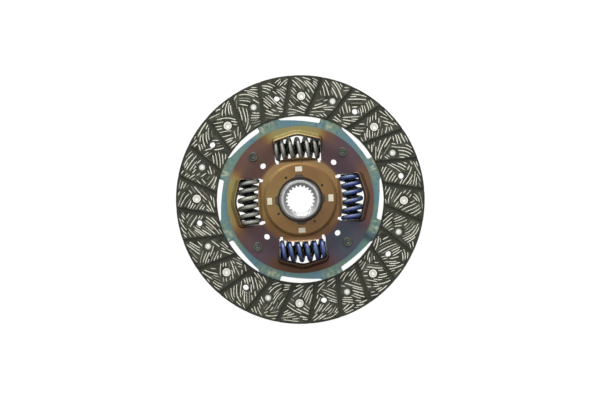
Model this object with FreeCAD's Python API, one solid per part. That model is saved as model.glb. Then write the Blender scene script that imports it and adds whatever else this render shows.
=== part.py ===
import FreeCAD, Part
import os
from math import acos, asin, cos, degrees, pi, radians, sin, sqrt
from FreeCAD import Vector

# Clutch disc with a sprung hub. Millimetres, hub axis on Z, origin on that axis at the
# mid-plane of the cushion plate, +Z towards the side with the retaining plate and +Y up
# when that side is looked at. Angles are in degrees, anticlockwise from +X.

# Friction facings
facing_outer_r = 112.0
facing_inner_r = 75.5
facing_thickness = 3.5
groove_count = 24
groove_width = 3.2
groove_depth = 1.3
groove_offset = 26.0            # distance of each groove's centre line from the hub axis
groove_angle = 80.9             # direction of the first groove's offset

# Facing rivets and their holes
rivet_circle_r = 93.4
rivet_groups = 8
rivet_head_angle = -0.45        # where the front facing's rivets lie
rivet_tail_angle = 26.85        # where the rear facing's rivets lie
counterbore_r = 4.3
counterbore_floor = 1.5         # lining left under a rivet head
plain_hole_r = 2.65
rivet_head_r = 3.8
rivet_head_thickness = 0.7
rivet_shank_r = 2.0
rivet_bore_r = 1.2
rivet_tail_r = 2.85
rivet_tail_thickness = 0.6
rivet_clearance = 0.1

# Cushion plate
cushion_thickness = 0.8
cushion_paddle_r = 109.5
cushion_lug_half_angle = 12.5
slot_first_angle = 31.0
slot_bend_angle = 58.8          # where the inner edge turns outwards
slot_last_angle = 63.6
slot_low_r = 71.1
slot_bow = 1.0                  # bow of the inner edge beyond the straight line
slot_bend_rise = 2.6
slot_depth = 8.0
slot_corner_r = 1.6
slit_start_rise = 3.0
paddle_slit_angle = 51.0
paddle_slit_width = 2.4

# The two plates and the spring windows
plate_thickness = 2.0
plate_gap = 9.3                 # between the two plates
window_count = 4
window_angle = 93.2
window_half_length = 20.8
window_gable = 6.0              # rise of the outer edge from its corners to its middle
window_corner_r = 2.4
window_peak_r = 14.0
lip_inner_width = 3.5
lip_inner_half_length = 17.4
lip_inner_rise = 2.6
lip_inner_bow = 2.8             # drop of the lip's edge from its middle to the window's ends
lip_inner_sink = 0.5
lip_inner_bend = 0.4
lip_bend_share = 0.38
lip_clearance = 0.25
hood_width = 4.4                # the plate drawn up over the coil along the outer edge
hood_rise = 4.5
hood_clearance = 1.2
hood_side_share = 0.6           # its width round the corners over that along the outer edge
hood_foot_y = 40.0
hood_fade_low_y = 40.5
hood_fade_high_y = 49.5
relief_hole_r = 1.3
relief_x = 18.8
relief_y = 33.4
sight_hole_circle_r = 45.0
sight_hole_r = 2.65

retaining_rim = 2.8             # flat rim outside the hoods
retaining_bore_r = 20.3
land_rise = 1.2                 # pressed-up centre of the retaining plate
land_top_r = 30.6
land_foot_r = 34.0
small_hole_circle_r = 23.3
small_hole_r = 1.1
small_hole_angle = 33.4

disc_rim = 3.9                  # the disc plate's reach past the retaining plate
cushion_overlap = 7.0           # how far the cushion plate lies on the disc plate
disc_bore_r = 19.9

# Stop pins
pin_circle_r = 56.8
pin_body_r = 4.5
pin_tenon_r = 3.2
pin_head_r = 4.25
pin_head_height = 1.4
pin_head_bevel = 0.5
pin_groove_r = 2.4              # ring pressed round the middle of a head
pin_groove_width = 0.7
pin_groove_depth = 0.35
pin_dimple_r = 1.0
pin_dimple_depth = 0.7
pin_clearance = 0.1
pin_lug_margin = 5.3            # cushion plate left inside a pin's centre

# Hub
hub_barrel_r = 18.5
hub_rear_r = 17.6
hub_front_z = 20.0
hub_rear_z = -10.5
hub_rear_chamfer = 1.0
hub_outer_chamfer = 1.9
hub_bore_chamfer = 2.1
flange_thickness = 5.5
flange_outer_r = 62.0
flange_notch_clearance = 2.5
flange_root_r = 1.5
flange_sight_hole_r = 3.1
twist_limit = 9.0               # angle each way between the hub and the plates
twist_margin = 0.7
spline_teeth = 22
spline_major_r = 12.9
spline_minor_r = 11.5
spline_tooth_share = 0.5        # tooth width at mid height over the pitch
spline_flank_angle = 15.0       # lean of a tooth flank

# Torsion springs
spring_circle_r = 45.8
spring_outer_r = 10.7
spring_wire_r = 2.0
spring_turns = 6.38
spring_start_angles = [-54.0, -141.0, -134.0, -146.0]   # 90 is the retaining plate's side
inner_spring_outer_r = 5.2
inner_spring_wire_r = 1.15
inner_spring_turns = 13.6
inner_spring_start_angle = 35.0
spring_end_clearance = 0.2
spring_end_gap = 0.06           # between the close-wound turns at each end
spring_end_turns = 0.9
spring_end_blend = 0.5          # turns over which the pitch opens
spring_points_per_turn = 12

# Friction stack and bushes
running_gap = 0.15              # flat faces that turn against each other
washer_inner_r = 21.0
washer_outer_r = 31.0
front_washer_thickness = 1.4
lug_inner_r = 25.2
lug_outer_r = 29.6
lug_width = 6.2
lug_proud = 0.4
lug_clearance = 0.2
cone_spring_outer_r = 24.6
cone_spring_thickness = 0.9
thrust_washer_thickness = 0.5
bush_wall = 1.2
bush_clearance = 0.25
bush_lug_r = 22.2
bush_lug_foot_width = 9.0
bush_lug_tip_width = 4.6
bush_lug_clearance = 0.2
bush_lug_gap = 0.1
bush_fit = 0.1
bush_proud = 0.6
rear_bush_flange_r = 23.5
rear_washer_gap = 1.0           # between the rear washer and the rear bush
rear_bush_flange_thickness = 0.7

# Places that follow from the sizes above
cushion_top = cushion_thickness / 2
disc_top = -cushion_top
disc_bottom = disc_top - plate_thickness
middle_z = disc_top + plate_gap / 2
retaining_bottom = disc_top + plate_gap
retaining_top = retaining_bottom + plate_thickness
flange_bottom = middle_z - flange_thickness / 2
flange_top = middle_z + flange_thickness / 2
window_step = 360.0 / window_count
window_inner_y = (spring_circle_r - lip_clearance
                  - sqrt(spring_outer_r ** 2 - (plate_gap / 2 + lip_inner_rise) ** 2))
window_corner_y = (spring_circle_r + hood_clearance
                   + sqrt(spring_outer_r ** 2 - (plate_gap / 2 + hood_rise) ** 2))
window_peak_y = window_corner_y + window_gable
window_slope = window_gable / window_half_length
lip_inner_base_y = window_inner_y - lip_inner_width
retaining_outer_r = window_peak_y + hood_width + retaining_rim
disc_outer_r = retaining_outer_r + disc_rim
cushion_inner_r = disc_outer_r - cushion_overlap
cushion_lug_r = pin_circle_r - pin_lug_margin
slot_outer_r = slot_low_r + slot_depth
pin_angle = window_angle - window_step / 2
plain_hole_angle = (rivet_head_angle + rivet_tail_angle) / 2
slot_count = rivet_groups
far = 3 * facing_outer_r

up = Vector(0, 0, 1)
centre = Vector(0, 0, 0)


def polar(radius, angle, z=0.0):
    return Vector(radius * cos(radians(angle)), radius * sin(radians(angle)), z)


def cylinder(radius, z_low, z_high, place=centre):
    return Part.makeCylinder(radius, z_high - z_low, place + Vector(0, 0, z_low), up)


def ring(inner, outer, z_low, z_high):
    return cylinder(outer, z_low, z_high).cut(cylinder(inner, z_low, z_high))


def block(x_low, x_high, y_low, y_high, z_low, z_high):
    return Part.makeBox(x_high - x_low, y_high - y_low, z_high - z_low,
                        Vector(x_low, y_low, z_low))


def turned_about_axis(shape, angle):
    copy = shape.copy()
    copy.rotate(centre, up, angle)
    return copy


def around(shape, count, first_angle=0.0):
    return [turned_about_axis(shape, first_angle + 360.0 * i / count) for i in range(count)]


def holes(radius, circle_r, angle, count, z_low, z_high):
    hole = cylinder(radius, z_low, z_high, polar(circle_r, 0))
    return around(hole, count, angle)


def revolved(points):
    """Solid of revolution of a closed outline of (radius, z) points."""
    outline = [Vector(r, 0, z) for r, z in points]
    face = Part.Face(Part.makePolygon(outline + outline[:1]))
    return face.revolve(centre, up, 360)


def sector(inner, outer, half_angle, z_low, z_high):
    """A piece of a ring centred on +X."""
    section = Part.makePolygon([Vector(inner, 0, z_low), Vector(outer, 0, z_low),
                                Vector(outer, 0, z_high), Vector(inner, 0, z_high),
                                Vector(inner, 0, z_low)])
    piece = Part.Face(section).revolve(centre, up, 2 * half_angle)
    return turned_about_axis(piece, -half_angle)


def window_frame(shape, index):
    """Turns a shape drawn with its window on +Y to the place of that window."""
    return turned_about_axis(shape, window_angle - 90 + window_step * index)


def vertical_edges_near(shape, places, tolerance=0.05):
    found = []
    for edge in shape.Edges:
        low, high = edge.BoundBox.ZMin, edge.BoundBox.ZMax
        if high - low < tolerance or edge.BoundBox.XLength + edge.BoundBox.YLength > tolerance:
            continue
        point = edge.CenterOfMass
        if any(abs(point.x - x) + abs(point.y - y) < tolerance for x, y in places):
            found.append(edge)
    return found


def friction_facing():
    """One facing, friction face up, lying on the cushion plate. Both facings are this part."""
    low = cushion_top
    high = low + facing_thickness
    body = ring(facing_inner_r, facing_outer_r, low, high)
    half_reach = sqrt(facing_outer_r ** 2 - groove_offset ** 2) + groove_width
    groove = block(groove_offset - groove_width / 2, groove_offset + groove_width / 2,
                   -half_reach, 0, high - groove_depth, high + 1)
    cuts = around(groove, groove_count, groove_angle)
    cuts += holes(rivet_shank_r + rivet_clearance, rivet_circle_r, rivet_head_angle,
                  rivet_groups, low - 1, high + 1)
    cuts += holes(counterbore_r, rivet_circle_r, rivet_head_angle,
                  rivet_groups, low + counterbore_floor, high + 1)
    cuts += holes(counterbore_r, rivet_circle_r, rivet_tail_angle,
                  rivet_groups, low - 1, high + 1)
    cuts += holes(plain_hole_r, rivet_circle_r, plain_hole_angle,
                  rivet_groups, low - 1, high + 1)
    return body.cut(cuts)


def turned_over(shape):
    """The rear facing and its rivets are the front ones turned over."""
    copy = shape.copy()
    copy.rotate(centre, polar(1, plain_hole_angle), 180)
    return copy


def facing_rivet():
    """A tubular rivet: head in the counterbore, tail rolled over behind the cushion plate."""
    head_low = cushion_top + counterbore_floor
    head_high = head_low + rivet_head_thickness
    tail_low = -cushion_top - rivet_tail_thickness
    bevel = 0.25 * rivet_head_thickness
    return revolved([(rivet_bore_r, tail_low + bevel), (rivet_bore_r + bevel, tail_low),
                     (rivet_tail_r - bevel, tail_low), (rivet_tail_r, tail_low + bevel),
                     (rivet_tail_r, -cushion_top), (rivet_shank_r, -cushion_top),
                     (rivet_shank_r, head_low), (rivet_head_r, head_low),
                     (rivet_head_r, head_high - bevel), (rivet_head_r - bevel, head_high),
                     (rivet_bore_r + 2 * bevel, head_high), (rivet_bore_r, head_high - bevel)])


def front_rivets():
    rivet = facing_rivet()
    rivet.translate(polar(rivet_circle_r, 0))
    return Part.makeCompound(around(rivet, rivet_groups, rivet_head_angle))


def cushion_slot():
    """The see-through slot: bowed edge on the inside, arc on the outside, blunt first end."""
    low, high = -cushion_thickness, cushion_thickness
    bend_r = slot_low_r + slot_bend_rise
    inner_start = polar(slot_low_r, slot_first_angle, low)
    inner_bend = polar(bend_r, slot_bend_angle, low)
    straight_middle = (inner_start + inner_bend) * 0.5
    inner_mid = straight_middle * (1 + slot_bow / straight_middle.Length)
    inner_mid.z = low
    outer_start = polar(slot_outer_r, slot_first_angle, low)
    outer_mid = polar(slot_outer_r, (slot_first_angle + slot_last_angle) / 2, low)
    outer_end = polar(slot_outer_r, slot_last_angle, low)
    wire = Part.Wire([Part.Arc(inner_bend, inner_mid, inner_start).toShape(),
                      Part.makeLine(inner_start, outer_start),
                      Part.Arc(outer_start, outer_mid, outer_end).toShape(),
                      Part.makeLine(outer_end, inner_bend)])
    slot = Part.Face(wire).extrude(Vector(0, 0, high - low))
    corners = vertical_edges_near(slot, [(inner_start.x, inner_start.y),
                                         (inner_bend.x, inner_bend.y)])
    return slot.makeFillet(slot_corner_r, corners)


def cushion_plate():
    low, high = -cushion_top, cushion_top
    body = ring(cushion_inner_r, cushion_paddle_r, low, high)
    lug_wedge = sector(cushion_lug_r, cushion_inner_r + 1, cushion_lug_half_angle, low, high)
    lugs = around(lug_wedge, window_count, pin_angle)
    slit = block(slot_low_r + slit_start_rise, cushion_paddle_r + 1,
                 -paddle_slit_width / 2, paddle_slit_width / 2, low - 1, high + 1)
    cuts = around(cushion_slot(), slot_count)
    cuts += around(slit, slot_count, paddle_slit_angle)
    for angle in (rivet_head_angle, rivet_tail_angle):
        cuts += holes(rivet_shank_r + rivet_clearance, rivet_circle_r, angle,
                      rivet_groups, low - 1, high + 1)
    cuts += holes(plain_hole_r, rivet_circle_r, plain_hole_angle,
                  rivet_groups, low - 1, high + 1)
    cuts += holes(pin_tenon_r + pin_clearance, pin_circle_r, pin_angle,
                  window_count, low - 1, high + 1)
    return body.fuse(lugs).cut(cuts).removeSplitter()


def gabled_prism(inner_y, spread, z_low, z_high):
    """Prism over the outer part of a window, its gabled edge moved outwards by the spread."""
    half = window_half_length + spread * hood_side_share
    peak_y = window_peak_y + spread * sqrt(1 + window_slope ** 2)
    corner_y = peak_y - half * window_slope
    points = [Vector(-window_half_length, inner_y, z_low), Vector(window_half_length, inner_y, z_low),
              Vector(half, corner_y, z_low), Vector(0, peak_y, z_low),
              Vector(-half, corner_y, z_low)]
    prism = Part.Face(Part.makePolygon(points + points[:1])).extrude(Vector(0, 0, z_high - z_low))
    corners = vertical_edges_near(prism, [(-half, corner_y), (half, corner_y)])
    prism = prism.makeFillet(window_corner_r + spread * hood_side_share, corners)
    return prism.makeFillet(window_peak_r + spread, vertical_edges_near(prism, [(0, peak_y)]))


def gabled_wire(spread, z):
    prism = gabled_prism(hood_foot_y, spread, z, z + 1)
    return min(prism.Faces, key=lambda face: face.CenterOfMass.z).OuterWire


def hood(top):
    """The plate drawn up over the coil along the window's outer edge and round its corners."""
    profile = [(1.0, 0.0), (0.74, 0.33), (0.34, 0.88), (0.0, 1.0)]
    sections = [gabled_wire(hood_width * spread, top + hood_rise * rise) for spread, rise in profile]
    body = Part.makeLoft(sections, True, False)
    body = body.fuse(gabled_prism(hood_foot_y, hood_width, top - plate_thickness, top))
    slant = hood_rise / (hood_fade_high_y - hood_fade_low_y)
    side = [(0, top - far), (far, top - far), (far, top + (far - hood_fade_low_y) * slant),
            (hood_fade_low_y, top), (0, top)]
    outline = [Vector(-far, y, z) for y, z in side]
    below = Part.Face(Part.makePolygon(outline + outline[:1])).extrude(Vector(2 * far, 0, 0))
    body = body.common(below)
    inside = body.copy()
    inside.translate(Vector(0, 0, -plate_thickness))
    return body.cut(inside)


def inner_lip(top):
    """The tab bent up along the window's inner edge, following the coil."""
    bottom = top - plate_thickness
    base_y = lip_inner_base_y - lip_inner_sink
    middle_y = (base_y + window_inner_y) / 2 + lip_inner_bend
    half = lip_inner_half_length

    def curve(base_z):
        return Part.Arc(Vector(-half, base_y, base_z),
                        Vector(-half, middle_y, base_z + lip_bend_share * lip_inner_rise),
                        Vector(-half, window_inner_y, base_z + lip_inner_rise)).toShape()

    upper, lower = curve(top), curve(bottom)
    wire = Part.Wire([upper,
                      Part.makeLine(Vector(-half, window_inner_y, top + lip_inner_rise),
                                    Vector(-half, window_inner_y, bottom + lip_inner_rise)),
                      lower,
                      Part.makeLine(Vector(-half, base_y, bottom), Vector(-half, base_y, top))])
    return Part.Face(wire).extrude(Vector(2 * half, 0, 0))


def clear_window(z_low, z_high):
    """The clear window between the lips, cut last so that the lips end on its outline."""
    half, end_y = window_half_length, window_inner_y - lip_inner_bow
    arc = Part.Arc(Vector(-half, end_y, z_low), Vector(0, window_inner_y, z_low),
                   Vector(half, end_y, z_low)).toShape()
    wire = Part.Wire([arc, Part.makeLine(Vector(half, end_y, z_low), Vector(half, hood_foot_y, z_low)),
                      Part.makeLine(Vector(half, hood_foot_y, z_low),
                                    Vector(-half, hood_foot_y, z_low)),
                      Part.makeLine(Vector(-half, hood_foot_y, z_low),
                                    Vector(-half, end_y, z_low))])
    inner_part = Part.Face(wire).extrude(Vector(0, 0, z_high - z_low))
    return gabled_prism(hood_foot_y, 0, z_low, z_high).fuse(inner_part).removeSplitter()


def windowed_plate(blank, top):
    """Cuts the spring windows in a blank and bends their lips up past its top face."""
    z_low, z_high = top - plate_thickness - 1, top + hood_rise + 2
    half = window_half_length
    cuts, lips, clear = [], [], []
    for i in range(window_count):
        tab_room = block(-half, half, lip_inner_base_y, hood_foot_y + 1, z_low, z_high)
        cuts.append(window_frame(tab_room, i))
        cuts.append(window_frame(gabled_prism(hood_foot_y, hood_width, z_low, z_high), i))
        lips += [window_frame(hood(top), i), window_frame(inner_lip(top), i)]
        clear.append(window_frame(clear_window(z_low, z_high), i))
        for side in (-1, 1):
            relief = cylinder(relief_hole_r, z_low, z_high, Vector(side * relief_x, relief_y, 0))
            clear.append(window_frame(relief, i))
    return blank.cut(cuts).fuse(lips).cut(clear)


def common_holes(z_low, z_high):
    cuts = holes(pin_tenon_r + pin_clearance, pin_circle_r, pin_angle, window_count, z_low, z_high)
    cuts += holes(sight_hole_r, sight_hole_circle_r, pin_angle, window_count, z_low, z_high)
    return cuts


def pressed_blank(bottom):
    """The retaining plate before piercing: a flat ring with a softly raised centre."""
    middle_r = (land_top_r + land_foot_r) / 2
    quarter = (land_foot_r - land_top_r) / 4
    edges = []

    def step(z):
        top_bend = Part.Arc(Vector(land_top_r, 0, z + land_rise),
                            Vector(land_top_r + quarter, 0, z + 0.85 * land_rise),
                            Vector(middle_r, 0, z + land_rise / 2)).toShape()
        foot_bend = Part.Arc(Vector(middle_r, 0, z + land_rise / 2),
                             Vector(land_foot_r - quarter, 0, z + 0.15 * land_rise),
                             Vector(land_foot_r, 0, z)).toShape()
        return [Part.makeLine(Vector(retaining_bore_r, 0, z + land_rise),
                              Vector(land_top_r, 0, z + land_rise)),
                top_bend, foot_bend,
                Part.makeLine(Vector(land_foot_r, 0, z), Vector(retaining_outer_r, 0, z))]

    top = bottom + plate_thickness
    edges += step(bottom)
    edges.append(Part.makeLine(Vector(retaining_outer_r, 0, bottom), Vector(retaining_outer_r, 0, top)))
    edges += step(top)[::-1]
    edges.append(Part.makeLine(Vector(retaining_bore_r, 0, top + land_rise),
                               Vector(retaining_bore_r, 0, bottom + land_rise)))
    return Part.Face(Part.Wire(edges)).revolve(centre, up, 360)


def tapered_lug(inner_r, spare, z_low, z_high):
    """A lug of the hub bush on +X, or with some spare room the notch that it fits."""
    foot_r = retaining_bore_r
    foot, tip = bush_lug_foot_width / 2 + spare, bush_lug_tip_width / 2 + spare
    points = [Vector(inner_r, -foot, z_low), Vector(foot_r, -foot, z_low),
              Vector(bush_lug_r + spare, -tip, z_low), Vector(bush_lug_r + spare, tip, z_low),
              Vector(foot_r, foot, z_low), Vector(inner_r, foot, z_low)]
    return Part.Face(Part.makePolygon(points + points[:1])).extrude(Vector(0, 0, z_high - z_low))


def retaining_plate():
    top, bottom = retaining_top, retaining_bottom
    plate = windowed_plate(pressed_blank(bottom), top)
    z_low, z_high = bottom - 1, top + land_rise + 1
    cuts = common_holes(z_low, z_high)
    cuts += holes(small_hole_r, small_hole_circle_r, small_hole_angle, window_count, z_low, z_high)
    half_width = lug_width / 2 + lug_clearance
    lug_window = block(lug_inner_r - lug_clearance, lug_outer_r + lug_clearance,
                       -half_width, half_width, z_low, z_high)
    cuts += around(lug_window, window_count, window_angle)
    notch = tapered_lug(retaining_bore_r - 2, bush_lug_clearance, z_low, z_high)
    cuts += around(notch, window_count, window_angle)
    return plate.cut(cuts)


def disc_plate():
    """The rear plate: modelled face up like the other, then turned over about mid-height."""
    top, bottom = retaining_top, retaining_bottom
    plate = windowed_plate(ring(disc_bore_r, disc_outer_r, bottom, top), top)
    plate = plate.cut(common_holes(bottom - 1, top + 1))
    return plate.mirror(Vector(0, 0, middle_z), up)


def stop_pins():
    """Shouldered pins that hold the two plates apart, with a riveted head at each end."""
    shoulder_low, shoulder_high = cushion_top, retaining_bottom
    front, rear = retaining_top + pin_head_height, disc_bottom - pin_head_height
    bevel = pin_head_bevel
    groove_in, groove_out = pin_groove_r - pin_groove_width / 2, pin_groove_r + pin_groove_width / 2
    pin = revolved([(0, rear), (pin_head_r - bevel, rear), (pin_head_r, rear + bevel),
                    (pin_head_r, disc_bottom), (pin_tenon_r, disc_bottom),
                    (pin_tenon_r, shoulder_low), (pin_body_r, shoulder_low),
                    (pin_body_r, shoulder_high), (pin_tenon_r, shoulder_high),
                    (pin_tenon_r, retaining_top), (pin_head_r, retaining_top),
                    (pin_head_r, front - bevel), (pin_head_r - bevel, front),
                    (groove_out, front), (pin_groove_r, front - pin_groove_depth),
                    (groove_in, front), (pin_dimple_r, front), (0, front - pin_dimple_depth)])
    pin.translate(polar(pin_circle_r, 0))
    return Part.makeCompound(around(pin, window_count, pin_angle))


def spline_space(z_low, z_high):
    """The space between two teeth of the bore, on +X, with leaning flanks."""
    pitch = 2 * pi * (spline_major_r + spline_minor_r) / 2 / spline_teeth
    half_mid = pitch * (1 - spline_tooth_share) / 2
    depth = spline_major_r - spline_minor_r
    lean = depth / 2 * sin(radians(spline_flank_angle)) / cos(radians(spline_flank_angle))
    inner, outer = half_mid + lean, half_mid - lean
    low_r = spline_minor_r - 1.0
    top_r = sqrt(spline_major_r ** 2 - outer ** 2)
    points = [Vector(low_r, -inner, z_low), Vector(spline_minor_r, -inner, z_low),
              Vector(top_r, -outer, z_low), Vector(top_r, outer, z_low),
              Vector(spline_minor_r, inner, z_low), Vector(low_r, inner, z_low)]
    return Part.Face(Part.makePolygon(points + points[:1])).extrude(Vector(0, 0, z_high - z_low))


def hub_flange():
    """Flange between the plates: four arms with open spring notches and stop-pin notches."""
    low, high = flange_bottom, flange_top
    flange = cylinder(flange_outer_r, low, high)
    notch_y = spring_circle_r - spring_outer_r - flange_notch_clearance
    notch = block(-window_half_length, window_half_length, notch_y, far, low - 1, high + 1)
    corners = [(-window_half_length, notch_y), (window_half_length, notch_y)]
    notch = notch.makeFillet(flange_root_r, vertical_edges_near(notch, corners))
    cuts = [window_frame(notch, i) for i in range(window_count)]
    pin_half_angle = twist_limit + twist_margin + degrees(asin(pin_body_r / pin_circle_r))
    pin_notch_r = pin_circle_r - pin_body_r - twist_margin
    pin_notch = sector(pin_notch_r, 1.1 * flange_outer_r, pin_half_angle, low - 1, high + 1)
    cuts += around(pin_notch, window_count, pin_angle)
    cuts += holes(flange_sight_hole_r, sight_hole_circle_r, pin_angle,
                  window_count, low - 1, high + 1)
    return flange.cut(cuts)


def hub():
    barrel = revolved([(0, hub_rear_z), (hub_rear_r - hub_rear_chamfer, hub_rear_z),
                       (hub_rear_r, hub_rear_z + hub_rear_chamfer),
                       (hub_rear_r, flange_bottom), (hub_barrel_r, flange_bottom),
                       (hub_barrel_r, hub_front_z - hub_outer_chamfer),
                       (hub_barrel_r - hub_outer_chamfer, hub_front_z), (0, hub_front_z)])
    chamfer_r = spline_major_r + hub_bore_chamfer
    bore = revolved([(0, hub_rear_z - 1), (chamfer_r + 1, hub_rear_z - 1),
                     (spline_minor_r, hub_rear_z + chamfer_r - spline_minor_r),
                     (spline_minor_r, hub_front_z - chamfer_r + spline_minor_r),
                     (chamfer_r + 1, hub_front_z + 1), (0, hub_front_z + 1)])
    spaces = around(spline_space(hub_rear_z - 1, hub_front_z + 1), spline_teeth, 90)
    return barrel.fuse(hub_flange()).cut([bore] + spaces).removeSplitter()


def coil(mean_r, wire_r, turns, start_angle, hand):
    """Coil spring along X between the window's ends, both ends close-wound and ground flat."""
    end, blend = spring_end_turns, spring_end_blend
    half = window_half_length - spring_end_clearance
    end_pitch = 2 * wire_r + spring_end_gap
    open_pitch = (2 * half - end_pitch * 2 * end) / (turns - 2 * end)

    def softened(value):
        if value < -blend:
            return 0.0
        if value > blend:
            return value
        return (value + blend) ** 2 / (4 * blend)

    count = int(turns * spring_points_per_turn)
    points = []
    for i in range(count + 1):
        turn = turns * i / count
        opened = softened(turn - end) - softened(turn - turns + end)
        along = end_pitch * turn + (open_pitch - end_pitch) * opened - half
        angle = hand * 2 * pi * turn + radians(start_angle)
        points.append(Vector(along, spring_circle_r + mean_r * cos(angle),
                             middle_z + mean_r * sin(angle)))
    path = Part.BSplineCurve()
    path.interpolate(points)
    start = path.value(path.FirstParameter)
    tangent = path.tangent(path.FirstParameter)[0]
    circle = Part.Wire(Part.makeCircle(wire_r, start, tangent))
    sweep = Part.Wire(path.toShape()).makePipeShell([circle], True, True)
    return sweep.common(block(-half, half, 0, far, middle_z - far, middle_z + far))


def torsion_spring(index):
    """Right-hand outer coil."""
    shape = coil(spring_outer_r - spring_wire_r, spring_wire_r, spring_turns,
                 spring_start_angles[index], 1)
    return window_frame(shape, index)


def inner_spring(index):
    """Left-hand coil nested in the outer one."""
    shape = coil(inner_spring_outer_r - inner_spring_wire_r, inner_spring_wire_r,
                 inner_spring_turns, inner_spring_start_angle, -1)
    return window_frame(shape, index)


def front_friction_washer():
    """Resin washer on the flange, with four lugs up through the retaining plate."""
    low = flange_top + running_gap
    high = low + front_washer_thickness
    lug_top = retaining_top + land_rise + lug_proud
    lug = block(lug_inner_r, lug_outer_r, -lug_width / 2, lug_width / 2, low, lug_top)
    return ring(washer_inner_r, washer_outer_r, low, high).fuse(
        around(lug, window_count, window_angle)).removeSplitter()


def thrust_washer():
    low = flange_top + running_gap + front_washer_thickness
    return ring(washer_inner_r, cone_spring_outer_r, low, low + thrust_washer_thickness)


def cone_spring():
    """Slightly conical spring washer between the thrust washer and the retaining plate."""
    low = flange_top + running_gap + front_washer_thickness + thrust_washer_thickness
    high = retaining_bottom + land_rise
    return revolved([(washer_inner_r, high - cone_spring_thickness),
                     (cone_spring_outer_r, low), (cone_spring_outer_r, low + cone_spring_thickness),
                     (washer_inner_r, high)])


def hub_bush():
    """Plain bush in the retaining plate's bore, keyed by four lugs."""
    low = flange_top + running_gap
    high = retaining_top + land_rise + bush_proud
    inner = hub_barrel_r + bush_clearance
    body = ring(inner, inner + bush_wall, low, high)
    lug = tapered_lug(inner + bush_wall / 2, 0, retaining_bottom + land_rise + bush_lug_gap,
                      retaining_top + land_rise)
    return body.fuse(around(lug, window_count, window_angle)).removeSplitter()


def rear_friction_washer():
    return ring(rear_bush_flange_r + rear_washer_gap, washer_outer_r, disc_top, flange_bottom - running_gap)


def rear_bush():
    """Flanged bush in the disc plate's bore."""
    inner = hub_rear_r + bush_clearance
    outer = disc_bore_r - bush_fit
    flange_high = disc_top + rear_bush_flange_thickness
    return revolved([(inner, disc_bottom - bush_proud), (outer, disc_bottom - bush_proud),
                     (outer, disc_top), (rear_bush_flange_r, disc_top),
                     (rear_bush_flange_r, flange_high), (inner, flange_high)])


facing = friction_facing()
rivets = front_rivets()
nodes = {
    "facing_front": facing,
    "facing_rear": turned_over(facing),
    "facing_rivets_front": rivets,
    "facing_rivets_rear": turned_over(rivets),
    "cushion_plate": cushion_plate(),
    "disc_plate": disc_plate(),
    "retaining_plate": retaining_plate(),
    "stop_pins": stop_pins(),
    "hub": hub(),
    "friction_washer_front": front_friction_washer(),
    "thrust_washer": thrust_washer(),
    "cone_spring": cone_spring(),
    "hub_bush": hub_bush(),
    "friction_washer_rear": rear_friction_washer(),
    "rear_bush": rear_bush(),
}
for i in range(window_count):
    nodes["torsion_spring_%d" % (i + 1)] = torsion_spring(i)
for i in range(window_count):
    nodes["inner_spring_%d" % (i + 1)] = inner_spring(i)

os.makedirs("parts", exist_ok=True)
for name, shape in nodes.items():
    shape.exportStep("parts/%s.step" % name)
    box = shape.BoundBox
    print(name, shape.isValid(), len(shape.Solids), round(shape.Volume),
          [round(v, 2) for v in (box.XMin, box.XMax, box.YMin, box.YMax, box.ZMin, box.ZMax)])
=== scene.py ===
import bpy
import bmesh
import math
import random
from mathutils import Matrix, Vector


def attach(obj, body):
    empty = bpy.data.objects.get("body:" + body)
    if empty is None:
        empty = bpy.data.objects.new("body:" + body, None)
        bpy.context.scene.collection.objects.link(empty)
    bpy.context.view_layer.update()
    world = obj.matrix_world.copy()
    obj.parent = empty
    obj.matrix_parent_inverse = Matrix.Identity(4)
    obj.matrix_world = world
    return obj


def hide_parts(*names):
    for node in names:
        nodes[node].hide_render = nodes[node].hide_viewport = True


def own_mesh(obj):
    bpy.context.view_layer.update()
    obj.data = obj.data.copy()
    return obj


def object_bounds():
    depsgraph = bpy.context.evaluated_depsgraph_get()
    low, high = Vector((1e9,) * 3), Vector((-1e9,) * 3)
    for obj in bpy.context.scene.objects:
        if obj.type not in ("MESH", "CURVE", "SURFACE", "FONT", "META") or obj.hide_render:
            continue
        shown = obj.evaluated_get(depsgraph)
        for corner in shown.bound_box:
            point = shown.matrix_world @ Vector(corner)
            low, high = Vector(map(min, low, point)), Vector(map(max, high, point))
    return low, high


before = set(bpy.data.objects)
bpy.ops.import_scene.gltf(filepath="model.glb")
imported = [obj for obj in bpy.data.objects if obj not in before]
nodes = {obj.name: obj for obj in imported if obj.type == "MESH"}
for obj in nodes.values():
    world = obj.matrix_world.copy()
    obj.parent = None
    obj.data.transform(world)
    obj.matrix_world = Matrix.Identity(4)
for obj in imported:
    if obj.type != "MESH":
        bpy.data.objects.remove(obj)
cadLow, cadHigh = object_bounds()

from types import SimpleNamespace
from mathutils import Vector

# Clutch disc, metres, hub axis on Z, friction facings about z = 0, +Y up in the picture.
# A name that ends in Grain holds a noise's scale, detail and roughness (0.55 where none is given),
# one in Bump a strength and a depth in mm, one in Band two ends and their softness, and one in Ease
# where a soft step starts and ends, then its values before and after (0 and 1 where none are given).
mm = 0.001
diagonal = 1.414                    # of a square with sides of 1


def tone(red, green, blue):
    # a colour read from 0 to 255, as the linear value that shaders take
    def linear(value):
        share = value / 255
        return share / 12.92 if share <= 0.04045 else ((share + 0.055) / 1.055) ** 2.4
    return (linear(red), linear(green), linear(blue), 1.0)


def feed(tree, socket, value):
    if isinstance(value, bpy.types.NodeSocket):
        tree.links.new(value, socket)
    else:
        socket.default_value = value


def maths(tree, operation, *values):
    node = tree.nodes.new("ShaderNodeMath")
    node.operation = operation
    for socket, value in zip(node.inputs, values):
        feed(tree, socket, value)
    return node.outputs[0]


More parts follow.
